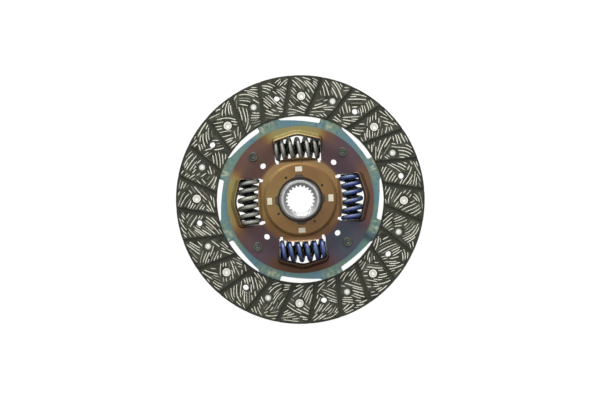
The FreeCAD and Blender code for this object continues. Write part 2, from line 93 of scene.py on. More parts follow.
def ease(tree, value, low, high, start=0.0, end=1.0):
    # start below low, end above high, with a soft step between
    node = tree.nodes.new("ShaderNodeMapRange")
    node.interpolation_type = "SMOOTHSTEP"
    feed(tree, node.inputs["Value"], value)
    for name, number in (("From Min", low), ("From Max", high), ("To Min", start), ("To Max", end)):
        node.inputs[name].default_value = number
    return node.outputs["Result"]


def band(tree, value, low, high, soft):
    # 1 between low and high, 0 beyond, with soft sides
    rise = ease(tree, value, low - soft, low + soft)
    return maths(tree, "MULTIPLY", rise, ease(tree, value, high - soft, high + soft, 1.0, 0.0))


def ramp(tree, value, stops):
    node = tree.nodes.new("ShaderNodeValToRGB")
    elements = node.color_ramp.elements
    while len(elements) < len(stops):
        elements.new(0.5)
    for element, (place, colour) in zip(elements, stops):
        element.position = place
        element.color = colour
    feed(tree, node.inputs["Fac"], value)
    return node.outputs["Color"]


def mixed(tree, share, first, second):
    node = tree.nodes.new("ShaderNodeMix")
    node.data_type = "RGBA"
    feed(tree, node.inputs["Factor"], share)
    feed(tree, node.inputs["A"], first)
    feed(tree, node.inputs["B"], second)
    return node.outputs["Result"]


def grain(tree, place, scale, detail, roughness=0.55):
    node = tree.nodes.new("ShaderNodeTexNoise")
    feed(tree, node.inputs["Vector"], place)
    node.inputs["Scale"].default_value = scale
    node.inputs["Detail"].default_value = detail
    node.inputs["Roughness"].default_value = roughness
    return node.outputs["Fac"]


def vector(tree, x, y, z):
    node = tree.nodes.new("ShaderNodeCombineXYZ")
    for socket, value in zip(node.inputs, (x, y, z)):
        feed(tree, socket, value)
    return node.outputs[0]


def attribute(tree, name):
    # a number kept on the mesh's vertices
    node = tree.nodes.new("ShaderNodeAttribute")
    node.attribute_name = name
    return node.outputs["Fac"]


def newMaterial(name, finish):
    material = bpy.data.materials.new(name)
    material.use_nodes = True
    tree = material.node_tree
    shader = tree.nodes["Principled BSDF"]
    shader.inputs["Metallic"].default_value = finish.get("metallic", 0.0)
    shader.inputs["Roughness"].default_value = finish["roughness"]
    shader.inputs["Specular IOR Level"].default_value = finish.get("specular", 0.5)
    return material, tree, shader


def coat(tree, shader, colour, height, strength, depth):
    # colour and small relief, depth in mm
    feed(tree, shader.inputs["Base Color"], colour)
    node = tree.nodes.new("ShaderNodeBump")
    node.inputs["Strength"].default_value = strength
    node.inputs["Distance"].default_value = depth * mm
    feed(tree, node.inputs["Height"], height)
    feed(tree, shader.inputs["Normal"], node.outputs["Normal"])


def partPlace(tree):
    # place on the part in metres, which moves with it
    return tree.nodes.new("ShaderNodeTexCoord").outputs["Object"]


def polarPlace(tree, place):
    # x and y in metres, radius and height in millimetres, angle in radians
    split = tree.nodes.new("ShaderNodeSeparateXYZ")
    feed(tree, split.inputs[0], place)
    x, y, z = split.outputs
    square = maths(tree, "MULTIPLY_ADD", x, x, maths(tree, "MULTIPLY", y, y))
    return SimpleNamespace(x=x, y=y, radius=maths(tree, "DIVIDE", maths(tree, "SQRT", square), mm),
                           angle=maths(tree, "ARCTAN2", y, x), height=maths(tree, "DIVIDE", z, mm))


def overRadius(tree, value, radius, times=1.0):
    # a value in metres over so many times the radius in mm
    return maths(tree, "DIVIDE", value, maths(tree, "MULTIPLY", radius, times * mm))


def wave(tree, angle, count, peakAngle):
    # 1 at peakAngle degrees and at each of count places round the axis, 0 half way between them
    turned = maths(tree, "SUBTRACT", angle, math.radians(peakAngle))
    return maths(tree, "MULTIPLY_ADD", maths(tree, "COSINE", maths(tree, "MULTIPLY", turned, count)),
                 0.5, 0.5)


def paint(material, *names):
    for name in names:
        mesh = nodes[name].data
        mesh.materials.clear()
        mesh.materials.append(material)


def addObject(name, data):
    holder = bpy.data.objects.new(name, data)
    bpy.context.scene.collection.objects.link(holder)
    return holder


def meshData(name, mesh):
    data = bpy.data.meshes.new(name)
    mesh.to_mesh(data)
    mesh.free()
    return data


def addTube(mesh, loops):
    # closed surface through loops of equally many vertices, with a flat cap at each end
    count = len(loops[0])
    for first, second in zip(loops, loops[1:]):
        for i in range(count):
            j = (i + 1) % count
            mesh.faces.new((first[i], first[j], second[j], second[i]))
    mesh.faces.new(reversed(loops[0]))
    mesh.faces.new(loops[-1])


print("stage: facing material")
facing = {
    "innerRadius": 75.5,            # mm
    "outerRadius": 112.0,
    "topHeight": 3.9,
    "rimMargin": 1.7,               # bare of yarn along the outer rim
    "innerMargin": 1.2,
    "grooveCount": 24,
    "grooveOffset": 26.0,           # from the hub axis to a groove's own line
    "grooveHalfWidth": 1.6,
    "grooveAngle": 80.9,            # degrees
    "grooveMargin": 0.35,
    "rivetCount": 8,
    "rivetRadius": 93.4,
    "headAngle": -0.45,
    "tailAngle": 26.85,
    "pocketRadius": 4.3,
    "holeRadius": 2.65,
    "holeMargin": 0.5,
    "roughness": 0.82,
    "specular": 0.25,
    "base": tone(76, 77, 65),
    "pale": tone(100, 101, 88),
    "dark": tone(46, 47, 40),
    "mottleGrain": (160, 5, 0.6),
    "mottleStops": (0.3, 0.5, 0.72),    # where dark, base and pale stand in the mottle
    "speck": tone(126, 126, 112),
    "speckGrain": (1900, 2, 0.6),
    "speckEase": (0.62, 0.74),
    "speckShare": 0.35,
    "rimShade": (2.2, 0.8),         # mm inside the outer rim, where its dark edge starts and is full
    "innerShade": (0.4, 1.6),
    "edgeShare": 0.5,
    "groove": tone(78, 79, 69),
    "grooveEase": (0.9, 1.25),      # mm below the face
    # painted shade on the grooves' walls, from near the face down to the groove floor
    "wallTopEase": (0.05, 0.25),
    "wallFootEase": (1.0, 1.25, 1.0, 0.0),
    "wallShadeShare": 0.5,
    "gritGrain": (900, 4, 0.7),
    "mottleRelief": 0.6,
    "faceBump": (0.55, 0.2),
}


def liningMaterial():
    material, tree, shader = newMaterial("frictionLining", facing)
    place = partPlace(tree)
    at = polarPlace(tree, place)
    mottle = grain(tree, place, *facing["mottleGrain"])
    shades = (facing["dark"], facing["base"], facing["pale"])
    colour = ramp(tree, mottle, list(zip(facing["mottleStops"], shades)))
    specks = ease(tree, grain(tree, place, *facing["speckGrain"]), *facing["speckEase"])
    colour = mixed(tree, maths(tree, "MULTIPLY", specks, facing["speckShare"]), colour, facing["speck"])
    rimStart, rimEnd = (facing["outerRadius"] - inside for inside in facing["rimShade"])
    innerStart, innerEnd = (facing["innerRadius"] + inside for inside in facing["innerShade"])
    rim = ease(tree, at.radius, rimStart, rimEnd, 0.0, facing["edgeShare"])
    inner = ease(tree, at.radius, innerStart, innerEnd, facing["edgeShare"], 0.0)
    colour = mixed(tree, maths(tree, "MAXIMUM", rim, inner), colour, facing["dark"])
    depth = maths(tree, "SUBTRACT", facing["topHeight"], maths(tree, "ABSOLUTE", at.height))
    colour = mixed(tree, ease(tree, depth, *facing["grooveEase"]), colour, facing["groove"])
    # painted shade on the grooves' walls
    wallShade = maths(tree, "MULTIPLY", ease(tree, depth, *facing["wallTopEase"]),
                 ease(tree, depth, *facing["wallFootEase"]))
    colour = mixed(tree, maths(tree, "MULTIPLY", wallShade, facing["wallShadeShare"]), colour, facing["dark"])
    relief = maths(tree, "ADD", grain(tree, place, *facing["gritGrain"]),
                   maths(tree, "MULTIPLY", mottle, facing["mottleRelief"]))
    coat(tree, shader, colour, relief, *facing["faceBump"])
    return material


paint(liningMaterial(), "facing_front", "facing_rear")


print("stage: yarn in the facings")
yarn = {
    "seed": 11,
    "patchTries": 6000,
    "patchSpacing": 15.5,           # mm between the middles of two patches
    "drawnOut": 2.2,                # length of a patch along its yarns over its width
    "leanSpread": 9.0,              # degrees
    "steepest": 50.0,               # degrees off the tangent at the middle of the ring
    "steepSpan": (0.02, 0.96),      # start and length on the half wave across the ring
    "steepPower": 0.8,
    "bend": 9.0,                    # degrees
    "bendRate": 0.28,               # radians of the bends' wave per mm
    "phaseSpread": 6,               # radians
    "wobble": 1.5,                  # degrees
    "cell": 0.7,                    # mm, squares of the map of patches
    "step": 1.0,
    "strokeSpacing": 2.15,
    "crowding": 0.74,               # share of that spacing at which a yarn stops
    "strokeLength": 34.0,
    "lengthSpread": (0.5, 1.0),
    "shortest": 4.6,
    "hidden": 0.1,                  # share of yarns that the pressed face hides
    "strokeWidth": 1.1,
    "widthSpread": (0.75, 1.15),
    "unevenness": (0.88, 1.08),
    "tipWidth": 0.45,               # share of the width at a yarn's ends
    "tipSteps": 1.5,
    "height": 0.09,
    "sink": 0.05,
    "shoulder": (0.72, 0.7),        # share of the width and of the height
    "foot": (1.04, 0.012),          # share of the width, and height in mm
    "skirt": 0.42,                  # mm, dark seam on each side of a yarn
    "skirtTip": 0.2,
    "dull": 0.22,                   # share of yarns that are worn dull
    "dullShine": (0.5, 0.75),
    "brightShine": (0.8, 1.0),
    "roughness": 0.7,
    "specular": 0.3,
    "colour": tone(248, 247, 231),
    "shade": tone(204, 203, 184),
    "shadeStops": (0.4, 0.62),
    "broadGrain": (90, 2),
    "fineGrain": (1500, 3, 0.7),
    "broadShare": 0.6,
    "fineShare": 0.7,
    "worn": tone(128, 128, 112),
    "wornEase": (0.45, 0.85),
    "seam": tone(36, 37, 30),
    "seamEase": (0.1, 0.5),
    "threadBump": (0.3, 0.1),
}


def onBlock(x, y):
    # true on the ground face of the front facing, clear of its grooves, pockets and rims
    low = facing["innerRadius"] + facing["innerMargin"]
    high = facing["outerRadius"] - facing["rimMargin"]
    if not low < math.hypot(x, y) < high:
        return False
    angle = math.degrees(math.atan2(y, x))
    grooveStep = 360 / facing["grooveCount"]
    for i in range(facing["grooveCount"]):
        turn = math.radians(facing["grooveAngle"] + grooveStep * i)
        across = x * math.cos(turn) + y * math.sin(turn) - facing["grooveOffset"]
        along = -x * math.sin(turn) + y * math.cos(turn)
        if along < 0 and abs(across) < facing["grooveHalfWidth"] + facing["grooveMargin"]:
            return False
    rivetStep = 360 / facing["rivetCount"]
    plainAngle = (facing["headAngle"] + facing["tailAngle"]) / 2
    for first, size in ((facing["headAngle"], facing["pocketRadius"]),
                        (facing["tailAngle"], facing["pocketRadius"]),
                        (plainAngle, facing["holeRadius"])):
        nearest = math.radians(first + rivetStep * round((angle - first) / rivetStep))
        middle = (facing["rivetRadius"] * math.cos(nearest), facing["rivetRadius"] * math.sin(nearest))
        if math.hypot(x - middle[0], y - middle[1]) < size + facing["holeMargin"]:
            return False
    return True


def yarnHeading(x, y, sense, lean):
    # wound yarn runs along the rims and crosses the middle of the ring steeply
    low, high = facing["innerRadius"], facing["outerRadius"]
    share = min(max((math.hypot(x, y) - low) / (high - low), 0), 1)
    start, length = yarn["steepSpan"]
    rise = math.sin(math.pi * (share * length + start)) ** yarn["steepPower"]
    return math.atan2(y, x) + math.pi / 2 + math.radians(sense * yarn["steepest"] * rise + lean)


def reach(patch, x, y):
    # distance from a patch's middle, drawnOut times less along its yarns
    alongX, alongY = math.cos(patch["heading"]), math.sin(patch["heading"])
    across = (y - patch["y"]) * alongX - (x - patch["x"]) * alongY
    along = (x - patch["x"]) * alongX + (y - patch["y"]) * alongY
    return math.hypot(along / yarn["drawnOut"], across)


def spreadPatches(draw):
    # patches of yarn spread evenly over the ring, each with the way it crosses the ring
    patches = []
    low, high = facing["innerRadius"], facing["outerRadius"]
    for attempt in range(yarn["patchTries"]):
        radius = math.sqrt(draw.uniform(low ** 2, high ** 2))
        angle = draw.uniform(0, 2 * math.pi)
        x, y = radius * math.cos(angle), radius * math.sin(angle)
        if all(math.hypot(x - p["x"], y - p["y"]) > yarn["patchSpacing"] for p in patches):
            sense, lean = draw.choice((-1, 1)), draw.gauss(0, yarn["leanSpread"])
            patches.append({"x": x, "y": y, "sense": sense, "lean": lean,
                            "phase": draw.uniform(0, yarn["phaseSpread"]),
                            "heading": yarnHeading(x, y, sense, lean)})
    return patches


def patchMap(patches):
    # the patch that each small square of the ring belongs to, none where no yarn shows
    owner = {}
    cell, size = yarn["cell"], int(facing["outerRadius"] / yarn["cell"]) + 1
    for i in range(-size, size + 1):
        for j in range(-size, size + 1):
            x, y = i * cell, j * cell
            if onBlock(x, y):
                owner[i, j] = min(patches, key=lambda patch: reach(patch, x, y))
    return owner


def strokeRuns(draw, patches):
    # yarns laid one by one, each as far as its patch and the yarns beside it let it run
    owner = patchMap(patches)
    laid = {}
    spacing, step = yarn["strokeSpacing"], yarn["step"]

    def patchAt(x, y):
        return owner.get((round(x / yarn["cell"]), round(y / yarn["cell"])))

    def square(x, y):
        return int(x // spacing), int(y // spacing)

    def crowded(x, y, room):
        i, j = square(x, y)
        for column in (i - 1, i, i + 1):
            for row in (j - 1, j, j + 1):
                for otherX, otherY in laid.get((column, row), ()):
                    if math.hypot(x - otherX, y - otherY) < room:
                        return True
        return False

    starts = list(owner)
    draw.shuffle(starts)
    runs = []
    for cell in starts:
        startX, startY = cell[0] * yarn["cell"], cell[1] * yarn["cell"]
        if crowded(startX, startY, spacing):
            continue
        patch = owner[cell]
        half = draw.uniform(*yarn["lengthSpread"]) * yarn["strokeLength"] / 2
        wobble = draw.gauss(0, yarn["wobble"])
        run = []
        for way in (-1, 1):
            x, y = startX, startY
            side = []
            for stride in range(int(half / step)):
                if patchAt(x, y) is not patch or crowded(x, y, spacing * yarn["crowding"]):
                    break
                side.append((x, y))
                sway = x * math.cos(patch["phase"]) + y * math.sin(patch["phase"])
                bend = yarn["bend"] * math.sin(yarn["bendRate"] * sway) + wobble
                turn = yarnHeading(x, y, patch["sense"], patch["lean"] + bend)
                x += way * step * math.cos(turn)
                y += way * step * math.sin(turn)
            run = list(reversed(side)) + run if way < 0 else run + side[1:]
        if len(run) * step < yarn["shortest"] or draw.random() < yarn["hidden"]:
            continue
        for x, y in run:
            laid.setdefault(square(x, y), []).append((x, y))
        runs.append(run)
    return runs


def addStroke(mesh, ridge, run, draw, flip):
    # a low closed ridge between two dark seams, narrower at both ends
    half = yarn["strokeWidth"] / 2 * draw.uniform(*yarn["widthSpread"])
    shine = draw.uniform(*(yarn["dullShine"] if draw.random() < yarn["dull"] else yarn["brightShine"]))
    tip, tipSteps = yarn["tipWidth"], yarn["tipSteps"]
    footWidth, footRise = yarn["foot"]
    shoulderWidth, shoulderRise = yarn["shoulder"][0], yarn["height"] * yarn["shoulder"][1]
    last = len(run) - 1
    loops = []
    for i, (x, y) in enumerate(run):
        ahead, behind = run[min(i + 1, last)], run[max(i - 1, 0)]
        length = math.hypot(ahead[0] - behind[0], ahead[1] - behind[1])
        sideX, sideY = -(ahead[1] - behind[1]) / length, (ahead[0] - behind[0]) / length
        fromEnd = min(i, last - i)
        taper = min(1.0, tip + (1 - tip) * fromEnd / tipSteps) * draw.uniform(*yarn["unevenness"])
        width = half * taper
        seam = width + yarn["skirt"] * min(1.0, yarn["skirtTip"] + fromEnd / tipSteps)
        profile = [(seam, -yarn["sink"], 0), (width * footWidth, footRise, 0),
                   (width * shoulderWidth, shoulderRise, shine), (0, yarn["height"], shine),
                   (-width * shoulderWidth, shoulderRise, shine),
                   (-width * footWidth, footRise, 0), (-seam, -yarn["sink"], 0)]
        loop = []
        for across, rise, bright in profile:
            vert = mesh.verts.new(flip(x + sideX * across, y + sideY * across, facing["topHeight"] + rise))
            vert[ridge] = bright
            loop.append(vert)
        loops.append(loop)
    addTube(mesh, loops)


def yarnMaterial():
    material, tree, shader = newMaterial("facingYarn", yarn)
    place = partPlace(tree)
    broad = grain(tree, place, *yarn["broadGrain"])
    fine = grain(tree, place, *yarn["fineGrain"])
    mottle = maths(tree, "MULTIPLY_ADD", fine, yarn["fineShare"],
                   maths(tree, "MULTIPLY", broad, yarn["broadShare"]))
    colour = ramp(tree, mottle, list(zip(yarn["shadeStops"], (yarn["shade"], yarn["colour"]))))
    shine = attribute(tree, "ridge")
    colour = mixed(tree, ease(tree, shine, *yarn["wornEase"]), yarn["worn"], colour)
    colour = mixed(tree, ease(tree, shine, *yarn["seamEase"]), yarn["seam"], colour)
    coat(tree, shader, colour, fine, *yarn["threadBump"])
    return material


def yarnPiece(name, seed, flip, material):
    draw = random.Random(seed)
    mesh = bmesh.new()
    ridge = mesh.verts.layers.float.new("ridge")
    runs = strokeRuns(draw, spreadPatches(draw))
    for run in runs:
        addStroke(mesh, ridge, run, draw, flip)
    bmesh.ops.recalc_face_normals(mesh, faces=mesh.faces)
    for face in mesh.faces:
        face.smooth = True
    piece = addObject(name, meshData(name, mesh))
    piece.data.materials.append(material)
    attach(piece, "carrier")
    triangles = sum(len(face.vertices) - 2 for face in piece.data.polygons)
    print("strokes of", name, len(runs), "triangles", triangles)


def frontFace(x, y, z):
    return Vector((x, y, z)) * mm


def rearFace(x, y, z):
    # the rear facing is the front one turned over about a line half way between two rivets
    turn = math.radians(facing["headAngle"] + facing["tailAngle"])
    return Vector((x * math.cos(turn) + y * math.sin(turn),
                   x * math.sin(turn) - y * math.cos(turn), -z)) * mm


facingYarn = yarnMaterial()
yarnPiece("lining_yarn_front", yarn["seed"], frontFace, facingYarn)
yarnPiece("lining_yarn_rear", yarn["seed"] + 1, rearFace, facingYarn)


print("stage: plates")
plate = {
    "windowCount": 4,
    "windowAngle": 93.2,            # degrees, middle of the first spring window
    "metallic": 0.75,
    "roughness": 0.42,
    "tints": [(0.0, tone(158, 147, 96)), (0.12, tone(157, 136, 88)), (0.26, tone(146, 112, 70)),
              (0.42, tone(122, 92, 70)), (0.6, tone(114, 85, 78)), (0.75, tone(99, 80, 87)),
              (0.9, tone(88, 86, 98)), (1.0, tone(82, 95, 108))],
    "windowTint": (0.36, 0.25),     # change of tint towards the lower right, and tint at the middle
    "cornerTint": (0.16, 0.74),
    "middleTint": (0.04, 0.26),
    "cornerEase": (0.24, 0.95),
    "rimEase": (54.0, 59.0),        # mm from the hub axis
    "middleEase": (36.5, 42.0),     # the golden middle ends here
    "cloudGrain": (34, 4, 0.6),
    "cloudTint": (0.3, -0.15),
    "web": tone(24, 18, 18),        # between the windows
    "webEase": (48, 61, 1.0, 0.0),
    "webShade": 0.3,
    "footLit": tone(168, 138, 94),  # painted light above the hub and painted shade below it, where the golden middle ends
    "footShade": tone(98, 68, 46),
    "footBand": (33.2, 38.5, 1.4),
    "litEase": (0.05, 0.7, 0.0, 0.8),
    "shadeEase": (-0.75, -0.3, 0.6, 0.0),
    # painted shade on the lower part of the outer rim
    "rimPaintedShade": tone(84, 56, 38),
    "rimShadeEase": (-0.97, -0.84, 0.75, 0.0),
    # painted shade on the hoods' slopes, also used below the inner lips
    "foldShade": tone(70, 50, 34),
    "foldShadeBand": (14.0, 14.8, 0.25),     # mm of height
    "foldShadeShare": 0.5,
    # painted highlight along the hoods' crests
    "hoodHighlight": tone(186, 160, 122),
    "highlightBand": (14.95, 15.2, 0.06),
    "highlightShare": 0.55,
    # painted shade at the hoods' window edges
    "hoodEdgeShade": tone(26, 20, 16),
    "edgeEase": (15.25, 15.35, 0.0, 0.9),
    # painted highlight on the inner lips' edges
    "lipHighlight": tone(224, 194, 152),
    "lipHighlightBand": (12.2, 13.6, 0.12),
    "lipEase": (41.0, 42.0, 1.0, 0.0),
    "lipHighlightShare": 0.75,
    "grooveShadeHeightBand": (11.1, 11.9, 0.3),      # painted shade: a dark line where the inner lips rise, on the upper windows
    "grooveShadeRadiusBand": (34.6, 38.5, 0.5),
    "grooveEase": (0.2, 0.9, 0.1, 0.6),
    "speck": tone(60, 44, 38),
    "speckGrain": (500, 4, 0.7),
    "speckEase": (0.6, 0.8, 0.0, 0.25),
    "scratchTurn": 0.6,
    "scratchGrain": (9, 3, 0.6),
    "scratchEase": (0.2, 0.8),
    "scratchRoughness": 0.56,
    "sheetGrain": (700, 3),
    "sheetBump": (0.1, 0.1),
}


def plateMaterial():
    # heat tint from gold by way of mauve to slate blue, further on towards the lower right
    material, tree, shader = newMaterial("tintedPlate", plate)
    place = partPlace(tree)
    at = polarPlace(tree, place)
    lean = overRadius(tree, maths(tree, "SUBTRACT", at.x, at.y), at.radius, diagonal)
    upper = overRadius(tree, at.y, at.radius)
    corner = maths(tree, "SUBTRACT", 1.0, wave(tree, at.angle, plate["windowCount"], plate["windowAngle"]))
    corner = ease(tree, corner, *plate["cornerEase"])
    outer = ease(tree, at.radius, *plate["rimEase"])
    windowTint = maths(tree, "MULTIPLY_ADD", lean, *plate["windowTint"])
    cornerTint = maths(tree, "MULTIPLY_ADD", lean, *plate["cornerTint"])
    middleTint = maths(tree, "MULTIPLY_ADD", lean, *plate["middleTint"])
    share = maths(tree, "MULTIPLY", outer, maths(tree, "SUBTRACT", 1.0, corner))
    tint = maths(tree, "MULTIPLY_ADD", share, maths(tree, "SUBTRACT", windowTint, cornerTint), cornerTint)
    away = ease(tree, at.radius, *plate["middleEase"])
    tint = maths(tree, "MULTIPLY_ADD", away, maths(tree, "SUBTRACT", tint, middleTint), middleTint)
    cloud = grain(tree, place, *plate["cloudGrain"])
    tint = maths(tree, "ADD", tint, maths(tree, "MULTIPLY_ADD", cloud, *plate["cloudTint"]))
    colour = ramp(tree, tint, plate["tints"])

    def over(colour, share, name, times=None):
        # one of the plate's tones laid over the colour, by a share that times scales
        if times is not None:
            share = maths(tree, "MULTIPLY", share, plate[times])
        return mixed(tree, share, colour, plate[name])

    web = maths(tree, "MULTIPLY", away, ease(tree, at.radius, *plate["webEase"]))
    colour = over(colour, web, "web", "webShade")
    # painted light above the hub and painted shade below it, where the golden middle ends
    foot = band(tree, at.radius, *plate["footBand"])
    litFoot = maths(tree, "MULTIPLY", foot, ease(tree, upper, *plate["litEase"]))
    shadedFoot = maths(tree, "MULTIPLY", foot, ease(tree, upper, *plate["shadeEase"]))
    colour = over(over(colour, litFoot, "footLit"), shadedFoot, "footShade")
    # painted shade on the lower part of the outer rim
    lowRimShade = maths(tree, "MULTIPLY", outer, ease(tree, upper, *plate["rimShadeEase"]))
    colour = over(colour, lowRimShade, "rimPaintedShade")
    # painted shade on the hoods' slopes, a painted highlight along their crests and painted shade at their
    # window edges
    colour = over(colour, band(tree, at.height, *plate["foldShadeBand"]), "foldShade", "foldShadeShare")
    colour = over(colour, band(tree, at.height, *plate["highlightBand"]), "hoodHighlight", "highlightShare")
    colour = over(colour, ease(tree, at.height, *plate["edgeEase"]), "hoodEdgeShade")
    # painted highlight on the inner lips' edges
    byLip = ease(tree, at.radius, *plate["lipEase"])
    paintedLip = maths(tree, "MULTIPLY", byLip, band(tree, at.height, *plate["lipHighlightBand"]))
    colour = over(colour, paintedLip, "lipHighlight", "lipHighlightShare")
    # painted shade where the upper windows' inner lips rise
    groove = maths(tree, "MULTIPLY", band(tree, at.height, *plate["grooveShadeHeightBand"]),
                   band(tree, at.radius, *plate["grooveShadeRadiusBand"]))
    groove = maths(tree, "MULTIPLY", groove, ease(tree, upper, *plate["grooveEase"]))
    colour = over(colour, groove, "foldShade")
    speck = ease(tree, grain(tree, place, *plate["speckGrain"]), *plate["speckEase"])
    colour = over(colour, speck, "speck")
    turned = maths(tree, "MULTIPLY", at.angle, plate["scratchTurn"])
    scratches = grain(tree, vector(tree, at.radius, turned, at.height), *plate["scratchGrain"])
    rough = ease(tree, scratches, *plate["scratchEase"], plate["roughness"], plate["scratchRoughness"])
    feed(tree, shader.inputs["Roughness"], rough)
    coat(tree, shader, colour, grain(tree, place, *plate["sheetGrain"]), *plate["sheetBump"])
    return material


paint(plateMaterial(), "retaining_plate", "disc_plate")

cushion = {
    "neckCount": 8,
    "neckAngle": 71.0,          # degrees, middle of a neck between two slots
    "metallic": 0.7,
    "roughness": 0.36,
    "streakPlace": (0.05, 7.0),     # noise units per mm outward and per radian round
    "streakGrain": (3.0, 3, 0.55),
    "teal": tone(106, 142, 154),
    "green": tone(116, 148, 138),
    "cloudGrain": (45, 3),
    "cloudEase": (0.42, 0.62),
    "olive": tone(130, 146, 118),
    "oliveNeckEase": (0.35, 0.9, 0.0, 0.75),
    "oliveEase": (0.35, 0.6),
    "pearl": tone(190, 198, 172),
    "pearlNeckPower": 4.0,
    "neckEase": (66, 72),       # mm from the hub axis
    "pearlEase": (0.48, 0.6, 0.0, 0.9),
    "deep": tone(62, 88, 100),
    "deepEase": (0.42, 0.3, 0.0, 0.6),
    "deepNeckEase": (66, 72, 0.4, 1.0),
    "coveredShade": tone(96, 104, 96),   # painted shade on the paddles between the facings, seen down the facings' pockets
    "coveredShadeEase": (75.8, 77),
    "stain": tone(58, 70, 82),  # a dark stain on one neck
    "stainAngle": 331.0,
    "stainPower": 1200.0,
    "stainShare": 0.85,
    "sheetBump": (0.05, 0.1),
}


def cushionMaterial():
    # blue-green temper, olive and pearl streaks run outward across the necks
    material, tree, shader = newMaterial("bluedSpringSteel", cushion)
    place = partPlace(tree)
    at = polarPlace(tree, place)
    outward, around = cushion["streakPlace"]
    streaks = grain(tree, vector(tree, maths(tree, "MULTIPLY", at.radius, outward),
                                 maths(tree, "MULTIPLY", at.angle, around), 0.0), *cushion["streakGrain"])
    neck = wave(tree, at.angle, cushion["neckCount"], cushion["neckAngle"])
    narrow = maths(tree, "MULTIPLY", maths(tree, "POWER", neck, cushion["pearlNeckPower"]),
                   ease(tree, at.radius, *cushion["neckEase"]))
    wide = ease(tree, neck, *cushion["oliveNeckEase"])
    cloud = ease(tree, grain(tree, place, *cushion["cloudGrain"]), *cushion["cloudEase"])
    colour = mixed(tree, cloud, cushion["teal"], cushion["green"])
    dull = maths(tree, "MULTIPLY", wide, ease(tree, streaks, *cushion["oliveEase"]))
    colour = mixed(tree, dull, colour, cushion["olive"])
    pearl = maths(tree, "MULTIPLY", narrow, ease(tree, streaks, *cushion["pearlEase"]))
    colour = mixed(tree, pearl, colour, cushion["pearl"])
    deep = maths(tree, "MULTIPLY", ease(tree, at.radius, *cushion["deepNeckEase"]),
                 ease(tree, streaks, *cushion["deepEase"]))
    colour = mixed(tree, deep, colour, cushion["deep"])
    # painted shade on the paddles between the facings
    colour = mixed(tree, ease(tree, at.radius, *cushion["coveredShadeEase"]), colour, cushion["coveredShade"])
    stain = maths(tree, "POWER", wave(tree, at.angle, 1, cushion["stainAngle"]), cushion["stainPower"])
    colour = mixed(tree, maths(tree, "MULTIPLY", stain, cushion["stainShare"]), colour, cushion["stain"])
    coat(tree, shader, colour, streaks, *cushion["sheetBump"])
    return material


paint(cushionMaterial(), "cushion_plate")


print("stage: hub, pins, rivets and washers")
steelCloud = {
    "cloudGrain": (260, 4, 0.6),
    "cloudEase": (0.3, 0.75),
    "ringGrain": (6.0, 2, 0.7),     # fine rings round the axis, left by turning
    "cloudRelief": 0.4,
    "steelBump": (0.2, 0.1),
}
hubFinish = {
    "metallic": 0.8,
    "roughness": 0.32,
    "face": tone(203, 203, 200),
    "faceShade": tone(172, 173, 171),
    "rim": tone(128, 125, 120),     # the barrel's outer bevel, painted darker than the face for its shade and dark reflection
    # painted light on the bevel's lower left and painted shade on its top
    "rimLit": tone(172, 170, 162),
    "rimPaintedShade": tone(54, 52, 50),
    "rimEase": (16.9, 17.4),        # mm from the hub axis
    "lowerShare": -0.55,
    "rimLitEase": (0.2, 1.1),
    "shadeEase": (0.6, 1.0),
    "bore": tone(204, 206, 205),
    "boreEase": (14.1, 14.8, 1.0, 0.0),
    "extraRoughness": 0.12,
}
pinSteel = {
    "metallic": 0.6,
    "roughness": 0.36,
    "colour": tone(104, 108, 98),
    "dark": tone(66, 70, 64),
    "turned": 0.2,
}
washerSteel = {
    "metallic": 0.7,
    "roughness": 0.4,
    "colour": tone(70, 66, 62),
    "dark": tone(48, 46, 44),
    "turned": 0.5,
}


def steelMaterial(name, steel):
    # turned or phosphated steel: cloudy colour with fine rings round the axis
    material, tree, shader = newMaterial(name, steel)
    place = partPlace(tree)
    at = polarPlace(tree, place)
    cloud = grain(tree, place, *steelCloud["cloudGrain"])
    colour = mixed(tree, ease(tree, cloud, *steelCloud["cloudEase"]), steel["colour"], steel["dark"])
    rings = grain(tree, vector(tree, at.radius, at.height, 0.0), *steelCloud["ringGrain"])
    relief = maths(tree, "MULTIPLY_ADD", rings, steel["turned"],
                   maths(tree, "MULTIPLY", cloud, steelCloud["cloudRelief"]))
    coat(tree, shader, colour, relief, *steelCloud["steelBump"])
    return material


def hubMaterial():
    # turned end face, outer bevel with painted shade, painted light to its lower left and darker painted
    # shade on its top, bright broached teeth
    material, tree, shader = newMaterial("hubSteel", hubFinish)
    place = partPlace(tree)
    at = polarPlace(tree, place)
    cloud = grain(tree, place, *steelCloud["cloudGrain"])
    clouds = ease(tree, cloud, *steelCloud["cloudEase"])
    colour = mixed(tree, clouds, hubFinish["face"], hubFinish["faceShade"])
    # the outer bevel: painted shade, with painted light to the lower left and darker painted shade at the
    # top
    rim = ease(tree, at.radius, *hubFinish["rimEase"])
    left = overRadius(tree, at.x, at.radius, -1.0)
    upper = overRadius(tree, at.y, at.radius)
    lower = maths(tree, "MULTIPLY_ADD", upper, hubFinish["lowerShare"], left)
    stain = mixed(tree, ease(tree, lower, *hubFinish["rimLitEase"]), hubFinish["rim"], hubFinish["rimLit"])
    stain = mixed(tree, ease(tree, upper, *hubFinish["shadeEase"]), stain, hubFinish["rimPaintedShade"])
    colour = mixed(tree, rim, colour, stain)
    bore = ease(tree, at.radius, *hubFinish["boreEase"])
    colour = mixed(tree, bore, colour, hubFinish["bore"])
    matt = maths(tree, "ADD", rim, bore)
    rough = maths(tree, "MULTIPLY_ADD", matt, hubFinish["extraRoughness"], hubFinish["roughness"])
    feed(tree, shader.inputs["Roughness"], rough)
    rings = grain(tree, vector(tree, at.radius, at.height, 0.0), *steelCloud["ringGrain"])
    relief = maths(tree, "ADD", rings, maths(tree, "MULTIPLY", cloud, steelCloud["cloudRelief"]))
    coat(tree, shader, colour, relief, *steelCloud["steelBump"])
    return material


